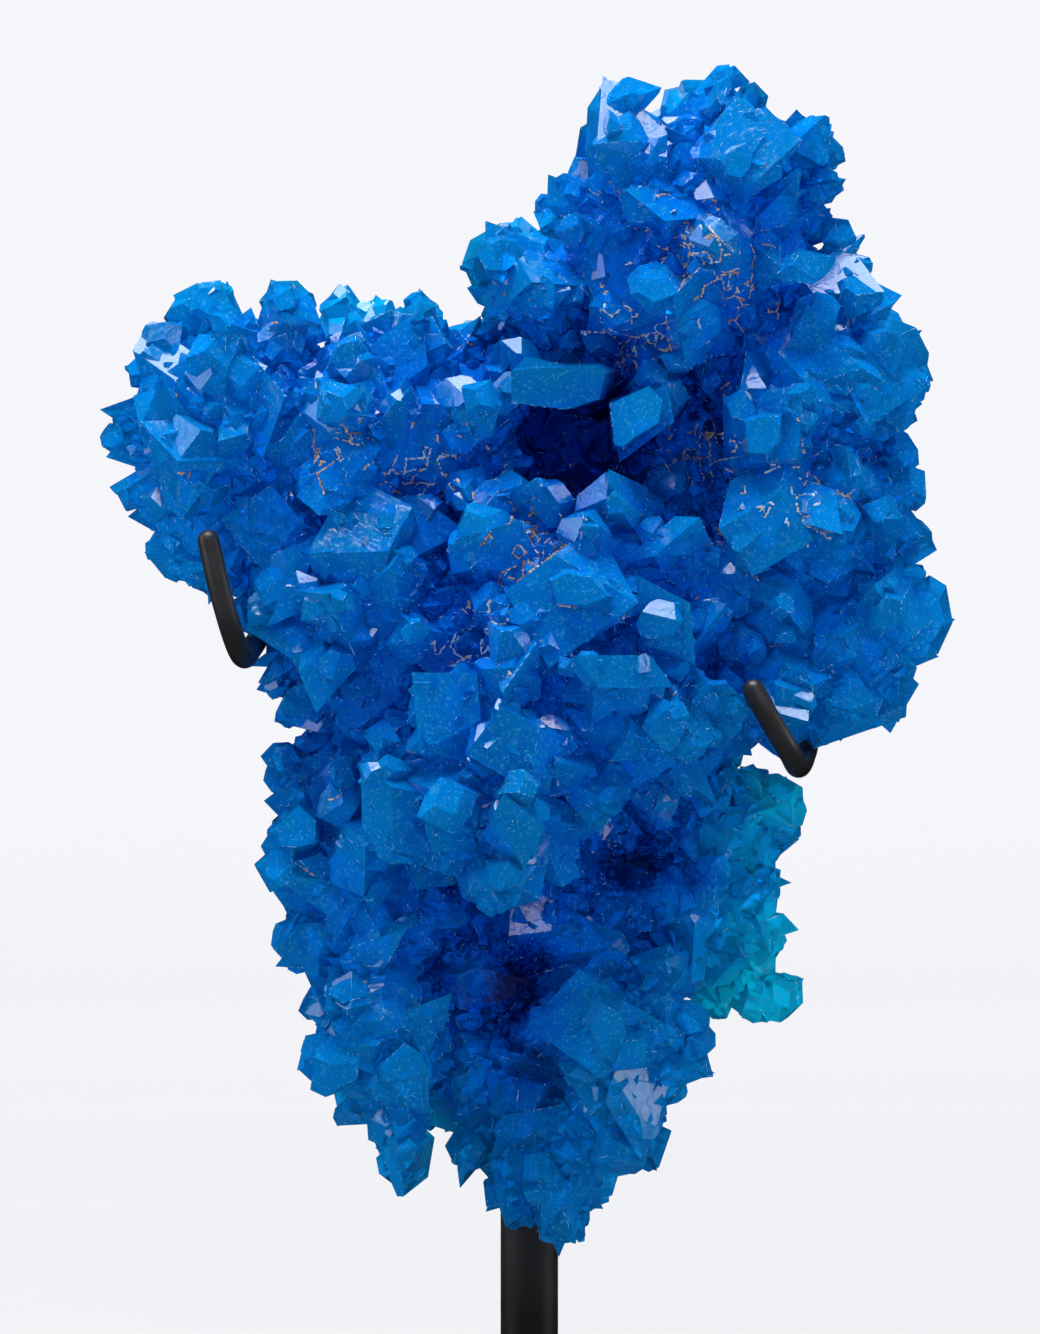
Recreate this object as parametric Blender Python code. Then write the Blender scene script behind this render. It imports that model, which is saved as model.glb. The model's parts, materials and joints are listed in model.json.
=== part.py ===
"""Chalcanthite crystal cluster, held by a hooked wire on a rod that stands in a square block.

Frame: +Z up, the specimen faces -Y, and the origin is the centre of the block's underside.
"""

import math

import bmesh
import bpy
import numpy as np
from mathutils import Matrix, Vector

for leftover in list(bpy.data.objects):
    bpy.data.objects.remove(leftover)

MM = 0.001
GAP = 0.3 * MM

# Block, rod and wire
BASE_SIDE = 90 * MM
BASE_HEIGHT = 12 * MM
EDGE_ROUNDING = 1.2 * MM
SOCKET_DEPTH = 9 * MM
ROD_DIAMETER = 8 * MM
ROD_Y = 30 * MM
ROD_TOP = 152 * MM
CROSS_HOLE_Z = 138.2 * MM
CROSS_HOLE_DIAMETER = 4.4 * MM
WIRE_DIAMETER = 3 * MM
POINTS_PER_STRETCH = 3

# Wire from one hooked end to the other, through the rod: x, y, z in millimetres
WIRE_ROUTE = (
    (-43, -20.6, 147), (-41.3, -22.4, 140), (-39.4, -22.6, 133.6), (-38.3, -18.5, 131.4), (-37.7, -4, 132.6),
    (-36.8, 12, 134.6), (-35.2, 25, 136.6), (-28, 30, 137.6), (-7, 30, 138), (7, 30, 138), (24, 30, 132.5),
    (35.5, 26.5, 124), (38, 14, 120.2), (37.2, -6, 118), (35.8, -24, 116.8), (34.4, -29, 119), (32.2, -29.2, 122.6),
    (29.8, -27.6, 127),
)

SEED = 23

# Body of the cluster: rounded lobes that run into each other, less three hollows.
# Each row is a centre x, y, z and half sizes x, y, z in millimetres, and a lean in degrees (top to +X).
LOBES = {
    "tower_top": ((23.2, 1, 200.4), (10.5, 10, 7.5), 0),
    "tower": ((21.8, 0, 185.5), (20.0, 18, 17), 0),
    "tower_left": ((1.4, -2, 181.4), (7.0, 10, 8), 0),
    "right_shoulder": ((36.8, 0, 166.4), (12.5, 17, 18), 0),
    "right_mid": ((36.8, -3, 148.7), (14.0, 18, 15), 0),
    "right_lobe": ((43.6, -6, 133.8), (9.5, 13, 9.5), 0),
    "right_under": ((34.0, -8, 128.3), (9.5, 14, 7.5), 0),
    "left_knob": ((-41.4, -5, 163.0), (12.0, 15, 14.5), 0),
    "left_knob_low": ((-43.5, -4, 150.0), (8.5, 10, 9), 0),
    "left_neck": ((-25.0, -5, 160.0), (16.0, 17, 15), 0),
    "saddle": ((-10.8, -2, 161.5), (15.0, 17, 13.5), 0),
    "heart": ((4.1, -4, 139.0), (31.0, 24, 20), 0),
    "left_side": ((-19.0, -8, 133.8), (15.0, 19, 17.5), 0),
    "chin": ((-6.7, -20, 112.5), (15.5, 16, 11), 0),
    "dome": ((5.5, -14, 125.6), (22.5, 21, 16), 0),
    "left_flank": ((-21.7, -2, 105.0), (10.0, 16, 23), 0),
    "lower_body": ((-1.3, 6, 94.3), (26.5, 14, 17.5), 0),
    "left_leg": ((-19.7, -6, 82.0), (8.0, 12, 15), -12),
    "right_leg": ((13.0, -6, 76.0), (7.5, 12, 13.5), 18),
    "leg_joint": ((11.0, 0, 86.0), (9.0, 11, 9), 0),
    "bottom_tip": ((2.1, 0, 63.5), (8.0, 8, 7.5), 0),
    "lower_mid": ((-4.0, 6, 74.5), (14.5, 10, 11.5), 0),
    "right_wall": ((21.0, 6, 98.4), (8.0, 12, 15), 0),
    "fin": ((31.0, 11, 99.0), (3.5, 6, 17), 0),
    "right_web": ((24.0, 4, 110.0), (8.0, 9, 11), 0),
    "right_join": ((29.0, -6, 134.0), (9.0, 13, 9), 0),
    "left_armpit": ((-31.0, -4, 139.0), (8.5, 13, 10), 0),
    "back_upper": ((9.6, 7, 159.6), (28.0, 13, 24), 0),
    "back_lower": ((0.0, 6, 115.0), (26.0, 13, 24), 0),
}
HOLLOWS = {
    "pit": ((8.2, -26, 161.7), (10.5, 24, 9), 0),
    "lower_cave": ((16.4, -24, 103.2), (12.0, 20, 6.5), 0),
    "valley": ((-1.3, -20, 83.5), (7.0, 16, 15), 0),
}
BLEND = 1.5 * MM

# Random crystals that cover the body, larger behind BACK_Y and smaller within HOLLOW_MARGIN of a hollow.
# Length is from a crystal's centre to its tip, protrusion from the body's surface to the tip, and tilt is the
# spread of the tip's direction about the surface's. No corner stands more than CORNER_LIMIT off the body.
SPACING = 8.8 * MM
BACK_SPACING = 11 * MM
BACK_Y = 12 * MM
HOLLOW_SPACING = 7.5 * MM
HOLLOW_MARGIN = 2 * MM
LENGTH = (7.0 * MM, 11.0 * MM)
PROTRUSION = (2.8 * MM, 5.8 * MM)
GIRTH = (0.8, 1.1)
TILT = 0.45
CORNER_LIMIT = 6.0 * MM
DRAWS = 30

# A placed crystal keeps random ones out of a ball: its centre as a share of the way from the crystal's centre
# to its tip, and its radius as a share of the crystal's length
ROOM_CENTRE = 0.4
ROOM_RADIUS = 0.75

# How much the hollows' flat-faced shapes grow over their half sizes, and how many triangles the cluster keeps
HOLLOW_GROWTH = 2 * MM
TRIANGLES = 8600

# Crystals whose tips make the outline: tip x, y, z and length in millimetres. Each points away from the body.
OUTLINE_TIPS = {
    "tower_left": ((6.5, 5, 199, 5), (2.5, -2, 197, 6), (0, -2, 190, 6), (-6, -6, 190.5, 9), (-9.5, -4, 184.5, 8)),
    "tower_right": ((41, 0, 192.5, 5), (45.5, 0, 189, 5), (46.5, -2, 185, 5), (49.5, -2, 179.5, 6), (51, 9, 181, 6)),
    "arm_top": (
        (-8.5, -4, 181.5, 8), (-15, -4, 181.5, 9), (-21, 6, 181, 6), (-27.5, 10, 180.5, 6),
        (-41, -4, 182.5, 6), (-44.5, 0, 182.5, 6),
    ),
    "knob_left": (
        (-49, -2, 178, 5), (-52, -2, 174.5, 5), (-55, -2, 171, 5), (-58.3, -4, 165, 7), (-58, -2, 161, 5),
        (-57, -4, 154.5, 6), (-54.5, -4, 150.5, 5), (-51.5, -4, 145, 7), (-46, -6, 143, 6), (-43.5, -6, 138.5, 7),
    ),
    "right_side": (
        (53.5, 2, 176, 8), (54.5, 0, 170, 8), (53, 2, 166, 7), (53, 2, 158.5, 4), (54, 4, 153, 4),
        (54.5, 4, 149, 4), (55.5, 2, 146, 5),
    ),
    "right_lobe": ((57.7, -4, 136.5, 9), (55.5, -4, 131.5, 8), (48, -6, 127.5, 6), (46.5, -6, 124, 5), (42, -8, 120, 7)),
    "left_edge": (
        (-37, -6, 127, 5), (-36.5, -4, 118, 5), (-36, -6, 112, 6), (-35.5, -4, 103.5, 5), (-34.5, -4, 89.5, 6),
        (-31, -4, 83.5, 5), (-31.5, -6, 75.5, 7), (-26, -6, 68, 6), (-20.5, -4, 64.5, 5),
    ),
    "left_leg": ((-17, -8, 58.5, 11), (-9.5, 4, 59, 6), (-6, 0, 56, 5)),
    "bottom": ((4, -2, 50, 8), (7.5, 0, 52, 5), (10, -2, 56.5, 6), (13.5, 2, 61, 6)),
    "right_leg": ((17.5, 2, 65, 5), (21.5, -2, 72.5, 5), (22, 0, 79, 6), (26.5, 6, 82, 6)),
    "fin": (
        (30, 10, 83.5, 5), (32.5, 12, 81.5, 5), (34.5, 12, 86.5, 6), (37, 12, 94, 8), (36, 12, 100.5, 5),
        (37, 10, 106.5, 5), (36.5, 10, 113.5, 5),
    ),
}

# Crystals that show one by one: habit, what points to the tip, tip x y z and centre x y z in millimetres,
# roll in degrees and girth
LANDMARKS = (
    ("point", "corner", (10, -4, 209.5), (14, -8, 199), 20, 1.35),
    ("block", "corner", (19.5, 2, 207.5), (19, 0, 201), 0, 1.1),
    ("point", "corner", (25.5, 0, 211.9), (24.5, -4, 203), 70, 1.1),
    ("block", "corner", (32, 0, 208), (28.5, -4, 202), 40, 1.0),
    ("slant", "corner", (43, 2, 200), (37.2, 1, 199.4), 0, 1.25),
    ("block", "corner", (36.5, 0, 205.5), (36, 0, 200), 60, 1.0),
    ("slant", "face", (27.5, -16.5, 201), (28, -12.5, 199), 30, 0.9),
    ("block", "corner", (-35, -8, 182.5), (-32.5, -8, 176.5), 0, 1.3),
    ("prism", "corner", (-2.5, -20, 169.5), (4.5, -14, 167.5), 0, 0.8),
    ("tablet", "corner", (12, -20, 157.5), (15.5, -14, 165.5), 90, 0.8),
    ("point", "corner", (10.5, -25, 156.5), (12.5, -18, 150.5), 0, 1.1),
    ("block", "corner", (46, -20, 141), (48, -10, 136), 20, 1.0),
    ("prism", "corner", (-35, -12, 103.5), (-30.5, -9, 108.5), 0, 1.0),
    ("block", "corner", (-3.5, -35, 97.5), (-3.5, -24, 104.5), 30, 0.9),
)

# Crystals with a large smooth face to the front: face x and z, and width, in millimetres
FRONT_FACES = (
    (-32.5, 148, 11),
    (-22, 145.5, 13),
    (6, 140.5, 15),
    (31, 161, 12),
    (-9.5, 122.5, 11),
    (-0.5, 119.5, 10),
    (10.5, 81.5, 13),
    (47, 170, 12),
)


def material(name, colour, roughness, metallic=0.0, transmission=0.0):
    made = bpy.data.materials.new(name)
    made.use_nodes = True
    shader = made.node_tree.nodes["Principled BSDF"]
    shader.inputs["Base Color"].default_value = (*colour, 1)
    shader.inputs["Roughness"].default_value = roughness
    shader.inputs["Metallic"].default_value = metallic
    shader.inputs["Transmission Weight"].default_value = transmission
    return made


CRYSTAL = material("chalcanthite", (0.005, 0.09, 0.42), 0.15, transmission=0.4)
BLACK = material("black_satin_paint", (0.012, 0.012, 0.013), 0.4)


def add_object(name, data, finish=None):
    made = bpy.data.objects.new(name, data)
    bpy.context.scene.collection.objects.link(made)
    if finish:
        data.materials.append(finish)
    return made


def mesh_from(name, bm):
    mesh = bpy.data.meshes.new(name)
    bm.to_mesh(mesh)
    bm.free()
    return mesh


# Distance field of the body, in metres: negative inside
def ellipsoid_distance(points, centre, radii, lean):
    local = points - np.array(centre) * MM
    if lean:
        turn = math.radians(lean)
        x = local[:, 0] * math.cos(turn) - local[:, 2] * math.sin(turn)
        z = local[:, 0] * math.sin(turn) + local[:, 2] * math.cos(turn)
        local = np.stack([x, local[:, 1], z], axis=1)
    radii = np.array(radii) * MM
    near = np.linalg.norm(local / radii, axis=1)
    slope = np.linalg.norm(local / radii**2, axis=1) + 1e-9
    return near * (near - 1) / slope


def hollow_distance(points):
    return np.min([ellipsoid_distance(points, *hollow) for hollow in HOLLOWS.values()], axis=0)


def field(points):
    """Smooth minimum over the lobes, then smooth maximum with the outside of the hollows."""
    each = np.stack([ellipsoid_distance(points, *lobe) for lobe in LOBES.values()])
    low = each.min(axis=0)
    joined = low - BLEND * np.log(np.exp(-(each - low) / BLEND).sum(axis=0))
    cut = -hollow_distance(points)
    high = np.maximum(joined, cut)
    return high + BLEND * np.log(np.exp((joined - high) / BLEND) + np.exp((cut - high) / BLEND))


def outward(points, step=0.2 * MM):
    slopes = []
    for axis in range(3):
        shift = np.zeros(3)
        shift[axis] = step
        slopes.append(field(points + shift) - field(points - shift))
    normals = np.stack(slopes, axis=1)
    return normals / (np.linalg.norm(normals, axis=1, keepdims=True) + 1e-12)


def surface_points(random, tries=60000, shell=6 * MM, steps=12, stride=0.8):
    """Random points in a box round the body, those near its surface moved onto it step by step."""
    low = np.array([-62, -48, 45]) * MM
    high = np.array([62, 34, 217]) * MM
    points = random.uniform(low, high, (tries, 3))
    points = points[np.abs(field(points)) < shell]
    for _ in range(steps):
        points = points - stride * field(points)[:, None] * outward(points)
    return points[np.abs(field(points)) < GAP]


def thinned(points, spacing, taken):
    """Points no closer than the spacing to each other, nor to a taken place (x, y, z, radius)."""
    kept = []
    for point, apart in zip(points, spacing):
        clear = not kept or ((np.array(kept) - point) ** 2).sum(axis=1).min() > apart**2
        if clear and (((taken[:, :3] - point) ** 2).sum(axis=1) > taken[:, 3] ** 2).all():
            kept.append(point)
    return np.array(kept)


# Crystal shapes: convex solids bounded by the mineral's own faces
CELL_EDGES = (6.122, 10.695, 5.96)
CELL_ANGLES = (97.58, 107.17, 77.55)
# Distances of each pair of parallel faces from the centre, for half a width of about 1
HABITS = {
    "block": {(0, 1, 0): 0.80, (1, 1, 0): 0.76, (0, -1, 1): 0.85},
    "rhomb": {(1, -1, 0): 0.70, (1, 1, 0): 0.70, (-1, 0, 1): 0.80},
    "slant": {(1, 0, 0): 0.72, (0, 1, 0): 0.78, (1, -1, 1): 0.74, (0, 0, 1): 0.95},
    "wedge": {(1, -1, 0): 0.62, (1, 1, 0): 0.74, (0, 1, 0): 0.80, (-1, 0, 1): 0.86},
    "point": {(1, 0, 0): 0.66, (0, 1, 0): 0.72, (1, -1, 1): 0.70, (0, 2, 1): 0.86},
    "tablet": {(1, -1, 0): 0.42, (0, 1, 0): 0.86, (0, 0, 1): 0.92},
    "prism": {(1, -1, 0): 0.60, (1, 1, 0): 0.62, (0, 1, 0): 0.66, (0, -1, 1): 1.10},
}
# Every common face at one distance, which makes a nearly round solid inside a ball of radius 1
CORE_FACES = ((1, 0, 0), (0, 1, 0), (1, -1, 0), (1, 1, 0), (0, -1, 1), (-1, 0, 1), (0, 2, 1))
HABITS["core"] = dict.fromkeys(CORE_FACES, 0.76)
COMMON_HABITS = ("block", "rhomb", "slant", "wedge", "point", "tablet")


def face_directions():
    """Rows that turn face indices h, k, l into a direction, with the c axis up."""
    a, b, c = CELL_EDGES
    alpha, beta, gamma = (math.radians(angle) for angle in CELL_ANGLES)
    along_a = np.array([a, 0, 0])
    along_b = b * np.array([math.cos(gamma), math.sin(gamma), 0])
    lean = (math.cos(alpha) - math.cos(beta) * math.cos(gamma)) / math.sin(gamma)
    height = math.sqrt(1 - math.cos(beta) ** 2 - lean**2)
    along_c = c * np.array([math.cos(beta), lean, height])
    up = along_c / np.linalg.norm(along_c)
    side = along_a - up * (along_a @ up)
    side /= np.linalg.norm(side)
    upright = np.stack([side, np.cross(up, side), up])
    return np.linalg.inv(np.stack([along_a, along_b, along_c])).T @ upright.T


def habit_corners(faces):
    """Corners of the solid between the pairs of parallel faces, centred on the origin."""
    rows = face_directions()
    normals = np.array([np.array(indices) @ rows for indices in faces])
    normals /= np.linalg.norm(normals, axis=1, keepdims=True)
    normals = np.concatenate([normals, -normals])
    distances = np.tile(list(faces.values()), 2)
    corners = []
    for i in range(len(normals)):
        for j in range(i + 1, len(normals)):
            for k in range(j + 1, len(normals)):
                planes = normals[[i, j, k]]
                if abs(np.linalg.det(planes)) < 1e-4:
                    continue
                corner = np.linalg.solve(planes, distances[[i, j, k]])
                if (normals @ corner <= distances + 1e-7).all():
                    corners.append(corner)
    corners = np.array(corners)
    _, first = np.unique(np.round(corners, 4), axis=0, return_index=True)
    return corners[first]


SHAPES = {name: habit_corners(faces) for name, faces in HABITS.items()}


def crystal_mesh(name, corners):
    bm = bmesh.new()
    for corner in corners:
        bm.verts.new(corner)
    bmesh.ops.convex_hull(bm, input=bm.verts)
    bmesh.ops.dissolve_limit(bm, angle_limit=math.radians(0.5), verts=bm.verts, edges=bm.edges)
    bmesh.ops.recalc_face_normals(bm, faces=bm.faces)
    return mesh_from(name, bm)


def random_turn(random):
    """A turn matrix drawn evenly from all turns."""
    turn, _ = np.linalg.qr(random.normal(size=(3, 3)))
    return turn * np.sign(np.linalg.det(turn))


def aimed_crystal(habit, pole, tip, centre, roll, girth):
    """Corners of a crystal turned so that its farthest corner, or its first face, points to the tip."""
    corners = SHAPES[habit]
    far = corners[np.linalg.norm(corners, axis=1).argmax()]
    if pole == "face":
        indices, distance = next(iter(HABITS[habit].items()))
        far = np.array(indices) @ face_directions()
        far *= distance / np.linalg.norm(far)
    axis = np.array(tip) - centre
    length = np.linalg.norm(axis)
    swing = Vector(far).rotation_difference(Vector(axis)).to_matrix()
    spin = Matrix.Rotation(math.radians(roll), 3, Vector(axis))
    turned = corners @ np.array(spin @ swing).T * length / np.linalg.norm(far)
    along = np.outer(turned @ axis / length**2, axis)
    return along + (turned - along) * girth + centre


# Each crystal is a row: habit, pole, tip and centre in metres, roll in degrees and girth
def landmark_crystals():
    for habit, pole, tip, centre, roll, girth in LANDMARKS:
        yield habit, pole, np.array(tip) * MM, np.array(centre) * MM, roll, girth


def outline_crystals(random, wander=0.15, girths=(0.8, 1.05)):
    """Crystals whose tips are the outline's, pointing away from the body."""
    for tips in OUTLINE_TIPS.values():
        for x, y, z, length in tips:
            tip = np.array([x, y, z]) * MM
            lean = outward(tip[None])[0] + random.normal(0, wander, 3)
            centre = tip - lean / np.linalg.norm(lean) * length * MM
            habit = random.choice(COMMON_HABITS)
            yield habit, "corner", tip, centre, random.uniform(0, 360), random.uniform(*girths)


def front_crystals(random, proud=3 * MM, depth=0.42, girth=0.85):
    """Crystals with a face to the front, where a line along Y from the front first meets the body."""
    depths = np.linspace(-50, 20, 281)
    for x, z, width in FRONT_FACES:
        line = np.stack([np.full_like(depths, x), depths, np.full_like(depths, z)], axis=1) * MM
        surface = line[np.argmax(field(line) < 0)]
        lean = 0.5 * outward(surface[None])[0] + np.array([0, -0.6, 0.1]) + random.normal(0, 0.1, 3)
        lean /= np.linalg.norm(lean)
        tip = surface + lean * proud
        yield "slant", "face", tip, tip - lean * width * depth * MM, random.uniform(0, 360), girth


def covering_crystals(random, taken):
    """Crystals with a corner outwards, each drawn again while one of its corners hangs too far from the body."""
    points = surface_points(random)
    in_hollow = hollow_distance(points) < HOLLOW_MARGIN
    spacing = np.interp(points[:, 1], [0, BACK_Y], [SPACING, BACK_SPACING])
    roots = thinned(points, np.where(in_hollow, HOLLOW_SPACING, spacing), taken)
    for root, normal in zip(roots, outward(roots)):
        scale = np.interp(root[1], [0, BACK_Y], [1, BACK_SPACING / SPACING])
        if hollow_distance(root[None])[0] < HOLLOW_MARGIN:
            scale = HOLLOW_SPACING / SPACING
        for _ in range(DRAWS):
            lean = normal + random.normal(0, TILT, 3)
            lean /= np.linalg.norm(lean)
            tip = root + lean * random.uniform(*PROTRUSION)
            centre = tip - lean * random.uniform(*LENGTH) * scale
            habit = random.choice(COMMON_HABITS)
            row = habit, "corner", tip, centre, random.uniform(0, 360), random.uniform(*GIRTH)
            if field(aimed_crystal(*row)).max() < CORNER_LIMIT:
                yield row
                break


def lobe_mesh(random, name, centre, radii, lean, growth=0):
    """The mineral's own shape at the lobe's size, at a random turn, so that what shows of it is flat faces."""
    round_solid = SHAPES["core"] @ random_turn(random).T
    size = np.array(radii) * MM + growth
    turn = np.array(Matrix.Rotation(math.radians(lean), 3, "Y"))
    return crystal_mesh(name, (round_solid * size) @ turn.T + np.array(centre) * MM)


def collection_of(name, meshes):
    made = bpy.data.collections.new(name)
    for mesh in meshes:
        made.objects.link(bpy.data.objects.new(mesh.name, mesh))
    return made


def boolean(target, operation, tools):
    step = target.modifiers.new(operation.lower(), "BOOLEAN")
    step.operation = operation
    step.solver = "EXACT"
    step.operand_type = "COLLECTION"
    step.collection = tools
    return step


def evaluated_mesh(source):
    """The object's mesh with its modifiers or its curve's bevel applied."""
    graph = bpy.context.evaluated_depsgraph_get()
    return bpy.data.meshes.new_from_object(source.evaluated_get(graph))


def largest_shell(mesh):
    """Deletes every shell of the mesh but the one with the most corners."""
    bm = bmesh.new()
    bm.from_mesh(mesh)
    left = set(bm.verts)
    shells = []
    while left:
        front = [left.pop()]
        shell = list(front)
        while front:
            corner = front.pop()
            for edge in corner.link_edges:
                other = edge.other_vert(corner)
                if other in left:
                    left.remove(other)
                    front.append(other)
                    shell.append(other)
        shells.append(shell)
    shells.sort(key=len)
    for shell in shells[:-1]:
        bmesh.ops.delete(bm, geom=shell, context="VERTS")
    bm.to_mesh(mesh)
    bm.free()


def crystal_cluster(clearances):
    """Lobes less hollows, joined with all crystals, less the room for the wire and the rod."""
    random = np.random.default_rng(SEED)
    rows = [*landmark_crystals(), *outline_crystals(random), *front_crystals(random)]
    taken = [
        [*(centre + ROOM_CENTRE * (tip - centre)), ROOM_RADIUS * math.dist(tip, centre)]
        for _, _, tip, centre, _, _ in rows
    ]
    rows += covering_crystals(random, np.array(taken))
    crystals = [crystal_mesh(f"crystal_{place}", aimed_crystal(*row)) for place, row in enumerate(rows)]
    lobes = [lobe_mesh(random, name, *lobe) for name, lobe in LOBES.items()]
    hollows = [lobe_mesh(random, name, *hollow, HOLLOW_GROWTH) for name, hollow in HOLLOWS.items()]
    cluster = add_object("crystal_cluster", lobes[0])
    boolean(cluster, "UNION", collection_of("lobes", lobes[1:]))
    boolean(cluster, "DIFFERENCE", collection_of("hollows", hollows))
    boolean(cluster, "UNION", collection_of("crystals", crystals))
    boolean(cluster, "DIFFERENCE", collection_of("clearances", clearances))
    mesh = evaluated_mesh(cluster)
    cluster.modifiers.clear()
    cluster.data = mesh
    largest_shell(mesh)
    mesh.materials.clear()
    mesh.materials.append(CRYSTAL)
    mesh.calc_loop_triangles()
    thin = cluster.modifiers.new("fewer_slivers", "DECIMATE")
    thin.ratio = TRIANGLES / len(mesh.loop_triangles)
    return cluster


def wire_points():
    """Catmull-Rom curve through the route, whose end stretches are mirrored past the ends."""
    route = np.array(WIRE_ROUTE) * MM
    route = np.concatenate([[2 * route[0] - route[1]], route, [2 * route[-1] - route[-2]]])
    points = []
    for before, start, end, after in zip(route, route[1:], route[2:], route[3:]):
        for t in np.arange(POINTS_PER_STRETCH) / POINTS_PER_STRETCH:
            bend = (2 * before - 5 * start + 4 * end - after) * t**2 + (3 * start - before - 3 * end + after) * t**3
            points.append(start + 0.5 * ((end - before) * t + bend))
    return np.array([*points, route[-2]])


def wire(name, diameter):
    """Round wire with filled ends along the route."""
    curve = bpy.data.curves.new(name, "CURVE")
    curve.dimensions = "3D"
    curve.bevel_depth = diameter / 2
    curve.bevel_resolution = 2
    curve.use_fill_caps = True
    spline = curve.splines.new("POLY")
    points = wire_points()
    spline.points.add(len(points) - 1)
    for spot, point in zip(spline.points, points):
        spot.co = (*point, 1)
    return add_object(name, curve, BLACK)


def cylinder_mesh(name, diameter, start, end, sides=24):
    """Closed cylinder between two points in metres."""
    bm = bmesh.new()
    axis = Vector(end) - Vector(start)
    turn = Vector((0, 0, 1)).rotation_difference(axis).to_matrix().to_4x4()
    middle = Matrix.Translation((Vector(start) + Vector(end)) / 2)
    bmesh.ops.create_cone(
        bm, cap_ends=True, segments=sides, radius1=diameter / 2, radius2=diameter / 2, depth=axis.length,
        matrix=middle @ turn,
    )
    return mesh_from(name, bm)


def soften_edges(target, width):
    """Chamfers the sharp edges."""
    rounding = target.modifiers.new("rounded_edges", "BEVEL")
    rounding.width = width
    rounding.segments = 1
    rounding.limit_method = "ANGLE"
    rounding.angle_limit = math.radians(60)


def rod():
    """Upright post, from the block's socket to above the wire's cross hole."""
    foot = (0, ROD_Y, BASE_HEIGHT - SOCKET_DEPTH + GAP)
    made = add_object("rod", cylinder_mesh("rod", ROD_DIAMETER, foot, (0, ROD_Y, ROD_TOP)), BLACK)
    soften_edges(made, 0.8 * MM)
    left, right = ((side * ROD_DIAMETER, ROD_Y, CROSS_HOLE_Z) for side in (-1, 1))
    hole = cylinder_mesh("cross_hole", CROSS_HOLE_DIAMETER, left, right, sides=16)
    boolean(made, "DIFFERENCE", collection_of("rod_holes", [hole]))
    return made


def base():
    """Square block with a socket for the rod."""
    bm = bmesh.new()
    size = Matrix.Diagonal((BASE_SIDE, BASE_SIDE, BASE_HEIGHT, 1))
    bmesh.ops.create_cube(bm, size=1, matrix=Matrix.Translation((0, 0, BASE_HEIGHT / 2)) @ size)
    made = add_object("base", mesh_from("base", bm), BLACK)
    soften_edges(made, EDGE_ROUNDING)
    bottom = (0, ROD_Y, BASE_HEIGHT - SOCKET_DEPTH)
    socket = cylinder_mesh("socket", ROD_DIAMETER + 2 * GAP, bottom, (0, ROD_Y, BASE_HEIGHT + SOCKET_DEPTH))
    boolean(made, "DIFFERENCE", collection_of("base_holes", [socket]))
    return made


wire("prong_wire", WIRE_DIAMETER)
rod()
base()

# The specimen keeps twice the gap to the wire and the rod all round
wire_room = evaluated_mesh(wire("wire_room", WIRE_DIAMETER + 4 * GAP))
rod_room = cylinder_mesh("rod_room", ROD_DIAMETER + 4 * GAP, (0, ROD_Y, 0), (0, ROD_Y, 2 * ROD_TOP), sides=32)
bpy.data.objects.remove(bpy.data.objects["wire_room"])
crystal_cluster([wire_room, rod_room])
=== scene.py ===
"""Chalcanthite specimen on its hooked wire, rod and block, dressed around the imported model."""
import itertools
import json
import math

import bmesh
import bpy
import numpy as np
from mathutils import Matrix, Vector

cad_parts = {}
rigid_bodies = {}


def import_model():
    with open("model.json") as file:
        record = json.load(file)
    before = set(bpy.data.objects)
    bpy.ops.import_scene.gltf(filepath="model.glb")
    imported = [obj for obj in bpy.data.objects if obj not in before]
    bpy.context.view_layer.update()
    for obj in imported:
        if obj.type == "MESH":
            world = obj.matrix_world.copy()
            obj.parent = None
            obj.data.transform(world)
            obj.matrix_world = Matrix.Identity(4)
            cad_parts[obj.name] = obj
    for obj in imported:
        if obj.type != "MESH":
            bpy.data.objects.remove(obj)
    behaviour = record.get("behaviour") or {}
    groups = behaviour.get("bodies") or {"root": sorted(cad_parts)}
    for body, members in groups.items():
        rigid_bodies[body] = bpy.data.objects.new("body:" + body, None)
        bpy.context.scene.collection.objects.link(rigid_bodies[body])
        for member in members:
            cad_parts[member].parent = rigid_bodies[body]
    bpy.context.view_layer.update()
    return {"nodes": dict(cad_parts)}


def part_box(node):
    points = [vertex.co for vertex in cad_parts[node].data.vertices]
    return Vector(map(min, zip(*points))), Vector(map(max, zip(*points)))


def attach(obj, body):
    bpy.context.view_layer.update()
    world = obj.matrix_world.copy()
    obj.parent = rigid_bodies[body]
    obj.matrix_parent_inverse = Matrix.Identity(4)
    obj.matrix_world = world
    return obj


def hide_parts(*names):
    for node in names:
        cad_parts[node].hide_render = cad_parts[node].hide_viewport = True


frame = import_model()

# The specimen: chalcanthite, a clear to cloudy blue copper sulfate. Hundreds of short, wedge-shaped triclinic
# crystals grew out of one another in a crust all round an older mass, so they are one piece. Larger ones
# stand out at the top, at the right and along the outline, and finer ones fill the places between them.
MM = 0.001
CELL_EDGES = (6.122, 10.695, 5.96)
CELL_ANGLES = np.radians((97.58, 107.17, 77.55))
FACE_INDICES = ((0, 1, 0), (1, 1, 0), (1, -1, 0), (1, 0, 0), (0, -1, 1), (-1, 0, 1), (1, -1, 1), (0, 2, 1))
SHAPE_COUNT = 28
# Limits of a shape: how square its first three faces stand to one another (the volume that their normals span),
# how far its faces and its corners lie from the middle, and how many faces it has
LEAST_SPAN = 0.35
FACE_DISTANCES = (0.62, 0.95)
GREATEST_REACH = 1.4
LEAST_FACES = 6
POLES_TRIED = 60


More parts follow.
